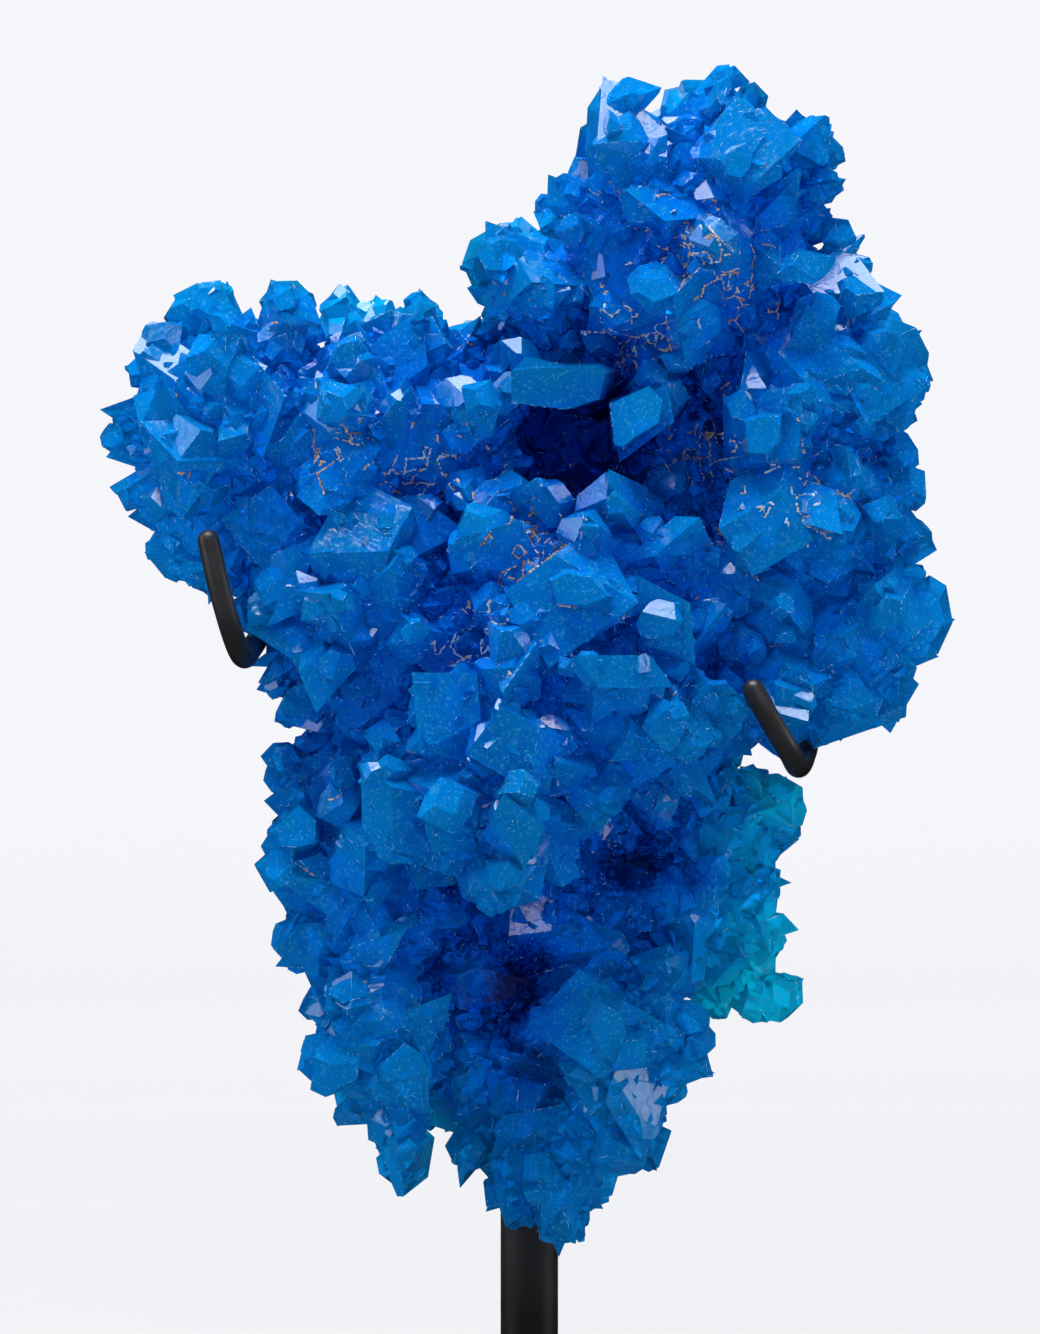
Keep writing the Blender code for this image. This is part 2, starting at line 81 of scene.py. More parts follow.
def face_normals():
    """Unit normals of the faces above: rows h, k, l times the inverse of the cell's three edge vectors."""
    a, b, c = CELL_EDGES
    alpha, beta, gamma = CELL_ANGLES
    lean = (math.cos(alpha) - math.cos(beta) * math.cos(gamma)) / math.sin(gamma)
    cell = np.array([
        [a, 0, 0],
        [b * math.cos(gamma), b * math.sin(gamma), 0],
        [c * math.cos(beta), c * lean, c * math.sqrt(1 - math.cos(beta) ** 2 - lean**2)],
    ])
    normals = np.array(FACE_INDICES) @ np.linalg.inv(cell).T
    return normals / np.linalg.norm(normals, axis=1, keepdims=True)


def convex_solid(normals, distances):
    """Corners where three planes meet and no other plane cuts them off, and each plane's corners in turn."""
    triples = np.array(list(itertools.combinations(range(len(normals)), 3)))
    planes = normals[triples]
    triples = triples[np.abs(np.linalg.det(planes)) > 1e-3]
    corners = np.linalg.solve(normals[triples], distances[triples][..., None])[..., 0]
    corners = corners[(corners @ normals.T <= distances + 1e-9).all(axis=1)]
    _, first = np.unique(np.round(corners, 5), axis=0, return_index=True)
    corners = corners[first]
    faces = []
    for normal, distance in zip(normals, distances):
        on_plane = np.flatnonzero(np.abs(corners @ normal - distance) < 1e-5)
        if len(on_plane) > 2:
            spokes = corners[on_plane] - corners[on_plane].mean(axis=0)
            across = np.cross(normal, spokes[0])
            faces.append(on_plane[np.argsort(np.arctan2(spokes @ across, spokes @ spokes[0]))].tolist())
    return corners, faces


def crystal_shapes(random):
    """Solids between three to six pairs of faces, each face at its own distance from the middle. With each comes
    the direction that will point outwards: its longest corner in every fourth, and in the rest the one of many
    tried that lies least square to any face, so that they end in blunt wedges."""
    normals = face_normals()
    shapes = []
    while len(shapes) < SHAPE_COUNT:
        chosen = random.choice(len(normals), random.integers(3, 7), replace=False)
        if abs(np.linalg.det(normals[chosen[:3]])) < LEAST_SPAN:
            continue
        distances = random.uniform(*FACE_DISTANCES, 2 * len(chosen))
        corners, faces = convex_solid(np.concatenate([normals[chosen], -normals[chosen]]), distances)
        reach = np.linalg.norm(corners, axis=1)
        if reach.max() > GREATEST_REACH or len(faces) < LEAST_FACES:
            continue
        poles = random.normal(0, 1, (POLES_TRIED, 3))
        poles /= np.linalg.norm(poles, axis=1, keepdims=True)
        flattest = np.abs(poles @ normals[chosen].T).max(axis=1)
        pole = corners[reach.argmax()] / reach.max() if len(shapes) % 4 == 0 else poles[flattest.argmin()]
        shapes.append((pole, corners, faces))
    return shapes


def turns_onto(starts, ends, rolls):
    """Matrices that turn each start direction onto its end, then roll about it: two mirrorings make the turn."""
    starts = starts / np.linalg.norm(starts, axis=1, keepdims=True)
    ends = ends / np.linalg.norm(ends, axis=1, keepdims=True)
    halves = starts + ends
    halves /= np.linalg.norm(halves, axis=1, keepdims=True)
    swing = 2 * halves[:, :, None] * halves[:, None, :] - np.eye(3)
    x, y, z = ends.T
    zero = np.zeros_like(x)
    cross = np.stack([zero, -z, y, z, zero, -x, -y, x, zero], axis=1).reshape(-1, 3, 3)
    outer = ends[:, :, None] * ends[:, None, :]
    cos, sin = np.cos(rolls)[:, None, None], np.sin(rolls)[:, None, None]
    roll = cos * np.eye(3) + sin * cross + (1 - cos) * outer
    return roll @ swing


def surface_samples(mesh, count, random):
    """Points spread evenly over the mesh's triangles, with each one's normal."""
    mesh.calc_loop_triangles()
    corners = np.empty(len(mesh.vertices) * 3)
    mesh.vertices.foreach_get("co", corners)
    picks = np.empty(len(mesh.loop_triangles) * 3, int)
    mesh.loop_triangles.foreach_get("vertices", picks)
    triangles = corners.reshape(-1, 3)[picks.reshape(-1, 3)]
    normals = np.cross(triangles[:, 1] - triangles[:, 0], triangles[:, 2] - triangles[:, 0])
    areas = np.linalg.norm(normals, axis=1)
    chosen = random.choice(len(triangles), count, p=areas / areas.sum())
    first, second = np.sort(random.uniform(0, 1, (2, count)), axis=0)
    weights = np.stack([first, second - first, 1 - second], axis=1)
    points = (triangles[chosen] * weights[:, :, None]).sum(axis=1)
    return points, normals[chosen] / areas[chosen][:, None]


def smoothed(places, points, normals, reach):
    """The points' normals averaged round each place, weighted by a bell curve of the distance, how far those
    points lie above the place along that (more than nothing in a hollow, less on a peak), and the average's length:
    1 on flat ground, and less where walls stand back to back."""
    softs, depths, lengths = [], [], []
    for part in np.array_split(places, len(places) // 300 + 1):
        squares = (part**2).sum(axis=1)[:, None] + (points**2).sum(axis=1) - 2 * part @ points.T
        weights = np.exp(-squares / (2 * reach**2))
        weights /= weights.sum(axis=1, keepdims=True)
        soft = weights @ normals
        lengths.append(np.linalg.norm(soft, axis=1))
        softs.append(soft / lengths[-1][:, None])
        depths.append(((weights @ points - part) * softs[-1]).sum(axis=1))
    return np.concatenate(softs), np.concatenate(depths), np.concatenate(lengths)


def spaced(points, spacing):
    """Indices of the points that come first in their cube of a grid, less those close to a neighbour's."""
    cells = np.floor(points / spacing).astype(int)
    _, first = np.unique(cells, axis=0, return_index=True)
    first = np.sort(first)
    kept = points[first]
    gaps = (kept**2).sum(axis=1)[:, None] + (kept**2).sum(axis=1) - 2 * kept @ kept.T
    close = np.tril(gaps < (0.62 * spacing) ** 2, -1).any(axis=1)
    return first[~close]


# Each layer: spacing, least and greatest half size, least and greatest height of the tip over the solid, and
# how deep below its surroundings a place has to lie
LAYERS = (
    (5.2 * MM, (2.6 * MM, 4.0 * MM), (0.6 * MM, 1.4 * MM), -4 * MM),
    (3.6 * MM, (1.5 * MM, 2.4 * MM), (0.5 * MM, 1.2 * MM), -4 * MM),
    (2.6 * MM, (0.95 * MM, 1.7 * MM), (0.4 * MM, 0.9 * MM), 0.6 * MM),
)
SAMPLES = 20000
# Crystals lean along the normal averaged this far round them
LEAN_REACH = 3.5 * MM
# Share of a large crystal's radius that finer ones leave bare
BARE_SHARE = 0.75
# Behind this y a place has to lie this much deeper
REAR_Y, REAR_DEPTH = 8 * MM, 0.5 * MM
# Crystals in a crease grow with its depth, up to this much
DEEPEST_FILL = 2.2 * MM
# Large crystals where the real ones stand, in mm: outline (x, z) of the rear end, peak (x, z), the front end's
# size as a share of the rear end's, front y and rear y
LARGE_CRYSTALS = (
    # Table over the pit
    (((-2.8, 169.7), (-1.3, 171.3), (10.3, 171.4), (12.2, 170.2), (11.6, 165.5), (4.9, 164.5), (-2.1, 165.5)),
     (4.0, 166.9), 0.86, -22, -6),
    # Blade beside the pit
    (((9.7, 167.1), (16.9, 169.0), (19.2, 166.6), (18.3, 162.8), (14.8, 159.0), (12.7, 157.4), (10.8, 158.2)),
     (12.3, 162.6), 0.72, -22.5, -5),
    # Rim of the pit
    (((7.3, 151.4), (10.2, 155.9), (12.1, 156.5), (17.4, 149.5), (15.8, 146.0), (8.9, 146.3)),
     (11.1, 152.3), 0.25, -27, -14),
    # Top left pyramid
    (((9.9, 209.5), (15.5, 206.3), (20.9, 203.3), (20.9, 197.6), (14.9, 194.6), (8.7, 194.6), (7.5, 200.0),
      (7.9, 206.3)), (10.9, 203.1), 0.12, -15.5, 2),
    # Behind it
    (((6.9, 203.7), (9.1, 205.0), (11.0, 203.4), (10.4, 199.3), (8.3, 199.3), (6.3, 199.7)),
     (8.5, 201.8), 0.85, 1, 5),
    # Top spike
    (((25.4, 211.4), (27.6, 209.1), (29.6, 207.2), (28.8, 201.5), (23.1, 200.7), (20.9, 205.3), (23.1, 208.0)),
     (25.1, 205.6), 0.15, -13, 3),
    # Top shoulder
    (((28.8, 209.3), (30.7, 209.9), (32.6, 208.0), (31.6, 204.1), (28.3, 203.3), (27.2, 206.6)),
     (30.1, 206.7), 0.4, -8, 4),
    # Clear slab
    (((36.2, 205.7), (40.3, 203.3), (42.7, 200.9), (43.1, 199.0), (39.3, 197.1), (34.3, 198.5), (32.7, 202.0)),
     (37.7, 201.0), 0.85, -3, 2),
    # Rounded one
    (((24.7, 199.7), (26.7, 201.9), (29.6, 202.2), (31.5, 199.9), (31.4, 196.2), (28.6, 193.7), (25.3, 194.5)),
     (27.9, 198.0), 0.5, -20, -8),
    # Right shoulder
    (((43.1, 176.8), (48.0, 178.2), (52.6, 176.3), (54.4, 172.8), (53.7, 167.6), (50.2, 164.9), (44.5, 166.8),
      (42.3, 172.8)), (47.7, 173.6), 0.45, -13, 3),
    # Right lobe ridge
    (((42.6, 140.5), (47.2, 142.9), (52.2, 142.1), (52.9, 136.4), (49.9, 132.1), (45.6, 130.8), (42.6, 133.7)),
     (48.3, 136.9), 0.35, -19.5, -5),
    # Right lobe clear
    (((51.0, 140.5), (54.4, 142.6), (56.7, 141.2), (57.6, 136.2), (55.6, 131.9), (51.0, 130.5)),
     (53.7, 136.4), 0.8, -7, 0),
    # Left knob dark
    (((-36.8, 179.8), (-34.6, 182.6), (-31.6, 182.7), (-29.2, 180.3), (-30.0, 176.8), (-35.1, 176.3)),
     (-32.8, 179.5), 0.4, -12.5, 0),
    # Knob pyramid
    (((-17.8, 178.1), (-15.1, 181.1), (-12.4, 179.4), (-11.3, 175.6), (-16.2, 174.3), (-18.1, 175.6)),
     (-14.8, 177.3), 0.2, -14, -2),
    # Tower left
    (((-9.2, 185.0), (-8.1, 188.2), (-4.0, 190.6), (0.1, 189.0), (1.4, 185.0), (-2.4, 181.2), (-7.5, 181.2)),
     (-4.0, 186.0), 0.5, -12.5, 2),
    # Chin
    (((-10.3, 103.4), (-7.9, 106.8), (-1.3, 107.6), (2.4, 104.2), (1.4, 99.1), (-4.0, 97.3), (-9.0, 99.1)),
     (-3.9, 102.5), 0.3, -36, -22),
    # Tilted prism
    (((-35.0, 109.2), (-31.0, 112.7), (-26.9, 110.5), (-27.5, 105.7), (-31.5, 103.0), (-34.8, 105.1)),
     (-30.8, 108.2), 0.6, -17, -4),
    # Spotted face
    (((-1.0, 143.0), (3.5, 146.0), (11.0, 144.4), (13.1, 139.0), (9.4, 135.3), (1.4, 136.6)),
     (5.9, 140.3), 0.5, -34, -18),
    # Upper right face
    (((26.9, 164.4), (31.0, 167.1), (35.3, 165.7), (35.8, 159.3), (32.0, 154.7), (27.7, 157.1)),
     (31.3, 161.0), 0.5, -22.5, -8),
    # Leg bulge
    (((6.0, 82.6), (8.9, 88.3), (14.0, 87.5), (15.9, 80.0), (12.7, 73.0), (7.3, 74.6)),
     (10.5, 81.6), 0.45, -22, -8),
    # Hanging tip
    (((-20.0, 67.4), (-15.9, 69.0), (-12.9, 66.1), (-13.8, 60.7), (-17.0, 58.2), (-19.7, 61.7)),
     (-16.4, 65.0), 0.4, -12, 0),
    # Fin top
    (((32.6, 113.0), (35.1, 115.2), (37.0, 111.9), (37.2, 107.0), (35.1, 105.1), (32.3, 107.0)),
     (34.7, 110.3), 0.8, 4, 9),
)
# Hollows that stay open: middle, radii in mm, and how much painted shade each puts on the crystals in it
HOLLOWS = (
    ((8.2, -26, 161.2), (9.5, 24, 8.0), 1.0),
    ((16.4, -24, 103.2), (12.0, 20, 6.5), 0.75),
    ((-1.3, -20, 83.5), (7.0, 16, 15), 0.45),
)
# Level up to which a hollow's crystals stay short, counted as hollow_levels does
HOLLOW_EDGE = 1.1
CLEARANCE = 0.3 * MM
CAD_MARGIN = 0.05 * MM
WELD = 1e-6
# How far round a place, and with how many points of the surface, its depth is worked out, and the depth that
# gives it full painted shade
DEPTH_REACH, DEPTH_SAMPLES, DEPTH_SCALE = 8 * MM, 2500, 12 * MM
# Thin crystals, which get a painted glow of light coming through them from behind: how far before y = 0 they begin,
# the averaged normal's length that is too great and how far below it the full effect lies, and how high over the
# surroundings a peak has it in full
THIN_FRONT, THIN_LENGTH, THIN_FADE, THIN_PEAK = 7 * MM, 0.36, 0.14, 2 * MM
# The hollows' painted shade begins this far before y = 0 and is full this much further back
DARK_FRONT, DARK_FADE = 26 * MM, 13 * MM
ROD_RADIUS = 4 * MM
ROD_Y = 30 * MM
ROD_TOP = 152 * MM
WIRE_RADIUS = 1.5 * MM
WIRE_ROUTE = (
    (-43, -20.6, 147), (-41.3, -22.4, 140), (-39.4, -22.6, 133.6), (-38.3, -18.5, 131.4), (-37.7, -4, 132.6),
    (-36.8, 12, 134.6), (-35.2, 25, 136.6), (-28, 30, 137.6), (-7, 30, 138), (7, 30, 138), (24, 30, 132.5),
    (35.5, 26.5, 124), (38, 14, 120.2), (37.2, -6, 118), (35.8, -24, 116.8), (34.4, -29, 119),
    (32.2, -29.2, 122.6), (29.8, -27.6, 127),
)


def route_points(route, steps):
    """Catmull-Rom curve: between each two points, the cubic whose slopes there are half the chord past them."""
    knots = np.array(route, float) * MM
    knots = np.concatenate([[2 * knots[0] - knots[1]], knots, [2 * knots[-1] - knots[-2]]])
    t = np.arange(steps)[:, None] / steps
    before, start, end, after = (knots[i: len(knots) - 3 + i, None, :] for i in range(4))
    curve = 0.5 * (
        2 * start + (end - before) * t + (2 * before - 5 * start + 4 * end - after) * t**2
        + (3 * start - before - 3 * end + after) * t**3
    )
    return np.concatenate([curve.reshape(-1, 3), knots[-2:-1]])


def hollow_levels(points):
    """For each hollow, 0 at its middle and 1 at its edge, for every point."""
    return np.stack([
        np.linalg.norm((points / MM - np.array(middle)) / np.array(radii), axis=1) for middle, radii, _ in HOLLOWS
    ])


def large_crystals(random):
    """The rear outline, and the same drawn in towards the peak, joined by flat sides and leant at random."""
    for outline, peak, share, front, rear in LARGE_CRYSTALS:
        rim, peak = np.array(outline), np.array(peak)
        uneven = share * random.uniform(0.7, 1.25, (len(rim), 1))
        flat = np.concatenate([peak + uneven * (rim - peak), rim])
        corners = np.stack([flat[:, 0], np.repeat([front, rear], len(rim)), flat[:, 1]], axis=1)
        corners[:, 1] += (flat - peak) @ random.uniform(-0.45, 0.45, 2)
        around = np.arange(len(rim))
        after = (around + 1) % len(rim)
        sides = np.stack([around, after, after + len(rim), around + len(rim)], axis=1)
        yield corners * MM, [around[::-1].tolist(), (around + len(rim)).tolist(), *sides.tolist()]


def stand_spheres():
    """Centres and radii of spheres strung along the wire and the rod and through the pit, for crystals to keep
    clear of."""
    wire = route_points(WIRE_ROUTE, 8)
    heights = np.arange(40 * MM, ROD_TOP, 1.5 * MM)
    rod = np.stack([0 * heights, 0 * heights + ROD_Y, heights], axis=1)
    middle, reach, _ = np.array(HOLLOWS[0], dtype=object)
    steps = np.array(list(itertools.product((-0.4, 0, 0.4), (-0.1, 0.2, 0.45, 0.65), (-0.25, 0.25))))
    pit = (np.array(middle) + steps * np.array(reach)) * MM
    radii = np.repeat([WIRE_RADIUS, ROD_RADIUS, 3.2 * MM], [len(wire), len(rod), len(pit)])
    return np.concatenate([wire, rod, pit]), radii + CLEARANCE


def crystal_rows(node, random):
    """For each layer, the outward direction, foot, height, half size and roll of every crystal. It leans along the
    averaged normal, half its own face's normal and a random push added up. Depth in a crease makes it larger and
    taller, a peak or an open hollow makes it shorter."""
    points, facets = surface_samples(node.data, SAMPLES, random)
    points, facets = points.astype(np.float32), facets.astype(np.float32)
    normals, depths, _ = smoothed(points, points[::4], facets[::4], LEAN_REACH)
    bare = np.zeros(len(points), bool)
    for outline, *_ in LARGE_CRYSTALS:
        middle = np.mean(outline, axis=0) * MM
        radius = np.linalg.norm(np.array(outline) * MM - middle, axis=1).mean()
        aside = np.linalg.norm(points[:, ::2] - middle, axis=1)
        bare |= (aside < BARE_SHARE * radius) & (points[:, 1] < 0) & (facets[:, 1] < -0.1)
    inside = hollow_levels(points).min(axis=0) < HOLLOW_EDGE
    for spacing, sizes, heights, least_depth in LAYERS:
        low = np.flatnonzero((depths - REAR_DEPTH * (points[:, 1] > REAR_Y) > least_depth) & ~bare)
        chosen = low[spaced(points[low], spacing)]
        count = len(chosen)
        leans = normals[chosen] + 0.5 * facets[chosen] + random.normal(0, 0.35, (count, 3))
        leans /= np.linalg.norm(leans, axis=1, keepdims=True)
        fill = np.clip(depths[chosen], 0, DEEPEST_FILL) * ~inside[chosen]
        size = random.uniform(*sizes, count) + 0.3 * fill
        height = random.uniform(*heights, count) * np.clip(1 + depths[chosen] / (2.5 * MM), 0.5, 1)
        height = height * np.where(inside[chosen], 0.6, 1) + 0.85 * fill
        yield leans, points[chosen], height, size, random.uniform(0, 2 * math.pi, count)


def clear_of_stand(solids, faces):
    """For convex solids given by their corners: whether every sphere's middle lies further outside one of the
    planes through the faces than its radius."""
    picks = np.array([face[:3] for face in faces])
    a, b, c = (solids[:, picks[:, i]] for i in range(3))
    normals = np.cross(b - a, c - a)
    normals /= np.linalg.norm(normals, axis=2, keepdims=True)
    centres, radii = stand_spheres()
    outside = np.einsum("nfi,si->nsf", normals, centres) - (normals * a).sum(axis=2)[:, None, :]
    return (outside.max(axis=2) > radii).all(axis=1)


def within(corners, low, high):
    """Each solid's corners, moved just far enough to lie in the box between low and high."""
    corners = corners + np.maximum(low - corners.min(axis=-2, keepdims=True), 0)
    return corners + np.minimum(high - corners.max(axis=-2, keepdims=True), 0)


def placed_crystals(shapes, rows, low, high, random):
    """A shape for every row, turned so that its pole points outwards, drawn in or out across that direction, and
    set with its tip at the row's height over its foot. Those that would touch the stand are left out."""
    leans, feet, heights, sizes, rolls = rows
    kinds = random.integers(0, len(shapes), len(leans))
    widths = random.uniform(0.8, 1.1, len(leans))
    for kind, (pole, corners, faces) in enumerate(shapes):
        these = np.flatnonzero(kinds == kind)
        lean, size = leans[these], sizes[these]
        turns = turns_onto(np.tile(pole, (len(these), 1)), lean, rolls[these])
        placed = np.einsum("nij,vj->nvi", turns, corners)
        along = np.einsum("nvi,ni->nv", placed, lean)[..., None] * lean[:, None]
        placed = (along + (placed - along) * widths[these][:, None, None]) * size[:, None, None]
        tips = (corners @ pole).max() * size
        placed += (feet[these] + lean * (heights[these] - tips)[:, None])[:, None]
        placed = within(placed, low, high)
        yield from ((crystal, faces) for crystal in placed[clear_of_stand(placed, faces)])


def joined(node, solids):
    """The node's solid and all the crystals as one closed mesh."""
    group = bpy.data.collections.new("crystals")
    for index, (corners, faces) in enumerate(solids):
        mesh = bpy.data.meshes.new(f"crystal_{index}")
        mesh.from_pydata(corners, [], faces)
        group.objects.link(bpy.data.objects.new(mesh.name, mesh))
    bm = bmesh.new()
    bm.from_mesh(node.data)
    bmesh.ops.remove_doubles(bm, verts=bm.verts, dist=WELD)
    base = bpy.data.objects.new("cluster", bpy.data.meshes.new("cluster"))
    bm.to_mesh(base.data)
    bm.free()
    bpy.context.scene.collection.objects.link(base)
    join = base.modifiers.new("join", "BOOLEAN")
    join.operation, join.solver = "UNION", "MANIFOLD"
    join.operand_type, join.collection = "COLLECTION", group
    mesh = bpy.data.meshes.new_from_object(base.evaluated_get(bpy.context.evaluated_depsgraph_get()))
    spent = [*group.objects, base]
    bpy.data.batch_remove(spent + [one.data for one in spent])
    return mesh


def add_depth_attributes(mesh, random):
    """Two numbers for the colour, both painted light. Hollow is painted shade: a half on open ground, more with
    depth below the surroundings and in the open hollows, and less on peaks, which the colour shows lighter. Thin is
    a painted
    glow of light through the crystals: 1 on peaks at the rear whose walls stand back to back, else 0."""
    corners = np.empty(len(mesh.vertices) * 3, np.float32)
    mesh.vertices.foreach_get("co", corners)
    corners = corners.reshape(-1, 3)
    points, facets = (rows.astype(np.float32) for rows in surface_samples(mesh, DEPTH_SAMPLES, random))
    _, depths, lengths = smoothed(corners, points, facets, DEPTH_REACH)
    # Painted shade in the open hollows, fading in from the front: dark holds each hollow's share
    levels = np.clip((1.3 - hollow_levels(corners)) / 0.5, 0, 1)
    levels *= np.clip((corners[:, 1] + DARK_FRONT) / DARK_FADE, 0, 1)
    dark = (levels * np.array([[share] for _, _, share in HOLLOWS])).max(axis=0)
    # Painted shade: a half on open ground, more in creases and hollows, less on peaks so that they come out lighter
    hollow = mesh.attributes.new("hollow", "FLOAT", "POINT")
    hollow.data.foreach_set("value", np.clip(0.5 + depths / DEPTH_SCALE + dark, 0, 1.5))
    # Painted light: rear peaks whose walls stand back to back get a cyan glow, as if light from behind shone
    # through them
    behind = np.clip(1 + corners[:, 1] / THIN_FRONT, 0, 1)
    walls = np.clip((THIN_LENGTH - lengths) / THIN_FADE, 0, 1)
    thin_backlit = mesh.attributes.new("thin_backlit", "FLOAT", "POINT")
    thin_backlit.data.foreach_set("value", behind * walls * np.clip(-depths / THIN_PEAK, 0, 1))


def specimen_mesh(node):
    random = np.random.default_rng(7)
    shapes = crystal_shapes(random)
    low, high = (np.array(corner) + CAD_MARGIN * sign for corner, sign in zip(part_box("crystal_cluster"), (1, -1)))
    solids = [(within(corners, low, high), faces) for corners, faces in large_crystals(random)]
    for rows in crystal_rows(node, random):
        solids += placed_crystals(shapes, rows, low, high, random)
    mesh = joined(node, solids)
    add_depth_attributes(mesh, random)
    return mesh


def add_node(tree, kind, settings=(), **sockets):
    """A node with its settings, its constant sockets set and its linked ones joined to the outputs given."""
    made = tree.nodes.new("ShaderNode" + kind)
    for name, value in dict(settings).items():
        setattr(made, name, value)
    for name, value in sockets.items():
        socket = made.inputs[int(name[1:])] if name[0] == "_" else made.inputs[name.replace("_", " ")]
        if isinstance(value, bpy.types.NodeSocket):
            tree.links.new(value, socket)
        else:
            socket.default_value = value
    return made


def colour_ramp(tree, share, stops):
    made = add_node(tree, "ValToRGB", _0=share)
    elements = made.color_ramp.elements
    while len(elements) < len(stops):
        elements.new(0.5)
    for element, (place, colour) in zip(elements, stops):
        element.position = place
        element.color = (*colour, 1)
    return made.outputs["Color"]


def crystal_material():
    """Clear blue glass with absorption inside. A half, less 1.3 times the hollow attribute, plus half the clouds
    and 0.7 of the flaws from noise, runs from navy to blue: painted shade in hollows and creases, lighter on peaks,
    with tone that differs at random. Where the walls stand back to back at the rear, crystals turn cyan, a painted
    glow of light through them, and frosty specks of fine noise lighten what isn't in painted shade. The flaws also
    raise a shallow bump."""
    made = bpy.data.materials.new("chalcanthite")
    made.use_nodes = True
    tree = made.node_tree
    shader = tree.nodes["Principled BSDF"]
    place = add_node(tree, "TexCoord").outputs["Object"]
    hollow = add_node(tree, "Attribute", {"attribute_name": "hollow"}).outputs["Fac"]
    clouds = add_node(tree, "TexNoise", Vector=place, Scale=150, Detail=2).outputs[0]
    flaws = add_node(tree, "TexNoise", Vector=place, Scale=520, Detail=3, Distortion=2.5).outputs[0]
    frost = add_node(tree, "TexNoise", Vector=place, Scale=2600, Detail=1).outputs[0]
    # Painted shade: the hollow attribute darkens the colour towards navy in hollows and creases and lightens it on
    # peaks; clouds and flaws add tone that differs at random
    light = add_node(tree, "Math", {"operation": "MULTIPLY_ADD"}, _0=hollow, _1=-1.3, _2=0.5).outputs[0]
    light = add_node(tree, "Math", {"operation": "MULTIPLY_ADD"}, _0=clouds, _1=0.5, _2=light).outputs[0]
    light = add_node(tree, "Math", {"operation": "MULTIPLY_ADD", "use_clamp": True}, _0=flaws, _1=0.7, _2=light)
    blue = colour_ramp(tree, light.outputs[0], (
        (0.0, (0.0, 0.008, 0.13)), (0.15, (0.0, 0.06, 0.52)), (0.4, (0.0, 0.16, 0.83)), (0.7, (0.0, 0.23, 0.87)),
        (1.0, (0.0, 0.29, 0.82)),
    ))
    # Painted light: rear crystals with walls back to back are mixed towards cyan, a glow of light shining through
    # them
    thin_backlit = add_node(tree, "Attribute", {"attribute_name": "thin_backlit"}).outputs["Fac"]
    blue = add_node(tree, "Mix", {"data_type": "RGBA"}, _0=thin_backlit, _6=blue, _7=(0.0, 0.68, 1.0, 1)).outputs[2]
    specks = add_node(tree, "Math", {"operation": "MULTIPLY_ADD"}, _0=flaws, _1=0.5, _2=frost).outputs[0]
    specks = add_node(tree, "MapRange", Value=specks, From_Min=0.83, From_Max=0.98, To_Max=0.9).outputs[0]
    specks = add_node(tree, "Math", {"operation": "MULTIPLY"}, _0=specks, _1=light.outputs[0]).outputs[0]
    blue = add_node(tree, "Mix", {"data_type": "RGBA"}, _0=specks, _6=blue, _7=(0.05, 0.46, 1.0, 1)).outputs[2]
    tree.links.new(blue, shader.inputs["Base Color"])
    bump = add_node(tree, "Bump", Height=flaws, Distance=0.12 * MM, Strength=0.4)
    tree.links.new(bump.outputs[0], shader.inputs["Normal"])
    shader.inputs["Roughness"].default_value = 0.08
    shader.inputs["IOR"].default_value = 1.53
    shader.inputs["Specular IOR Level"].default_value = 0.1
    shader.inputs["Transmission Weight"].default_value = 0.56
    absorb = add_node(tree, "VolumeAbsorption", Color=(0.0, 0.82, 0.94, 1), Density=200)
    tree.links.new(absorb.outputs[0], tree.nodes["Material Output"].inputs["Volume"])
    return made


cluster_node = frame["nodes"]["crystal_cluster"]
specimen = bpy.data.objects.new("specimen", specimen_mesh(cluster_node))
bpy.context.scene.collection.objects.link(specimen)
specimen.data.materials.clear()
specimen.data.materials.append(crystal_material())
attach(specimen, "root")
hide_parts("crystal_cluster")


# Crust: thin chips of tan and whitish matrix caught in the creases between crystals, thickest at the places below
# and in patches, with a fine pale frost in other creases, and pale chips along some of the crystals' edges that are
# partly frost on worn edges and partly a painted highlight. It is stuck fast.
# Each place: x, z and radius in mm, and how white it is
CRUST_PLACES = (
    (-24.8, 158.6, 5, 0.1), (21.5, 183.5, 9, 0.2), (24.2, 159.3, 6, 0.2), (0.7, 145.8, 8, 0.0),
    (5.3, 139.4, 3, 0.0), (-14.0, 157.0, 7, 0.4), (34.0, 152.0, 8, 0.4), (9.6, 97.0, 3.5, 0.55),
    (14.0, 176.0, 7, 0.3), (-8.0, 133.0, 6, 0.5),
)
# Each kind of chip: step along the edge, least and greatest length, least and greatest width, lift over the edge
# in widths, shares of the length at which rings of corners stand, and corners in a ring
CHIP_KINDS = {
    "veins": (0.36 * MM, (0.2 * MM, 0.9 * MM), (0.05 * MM, 0.18 * MM), 0.5, (0.14, 0.86), 4),
    "seams": (0.8 * MM, (0.2 * MM, 0.5 * MM), (0.025 * MM, 0.06 * MM), 0.5, (0.4,), 3),
    # Pale chips along sharp edges: partly frost on worn edges, partly a painted highlight
    "rims_frost_and_highlight": (0.8 * MM, (0.25 * MM, 0.8 * MM), (0.025 * MM, 0.055 * MM), 0.2, (0.4,), 3),
}
# Turn in radians between two faces from which an edge holds chips
SHARP = 0.45


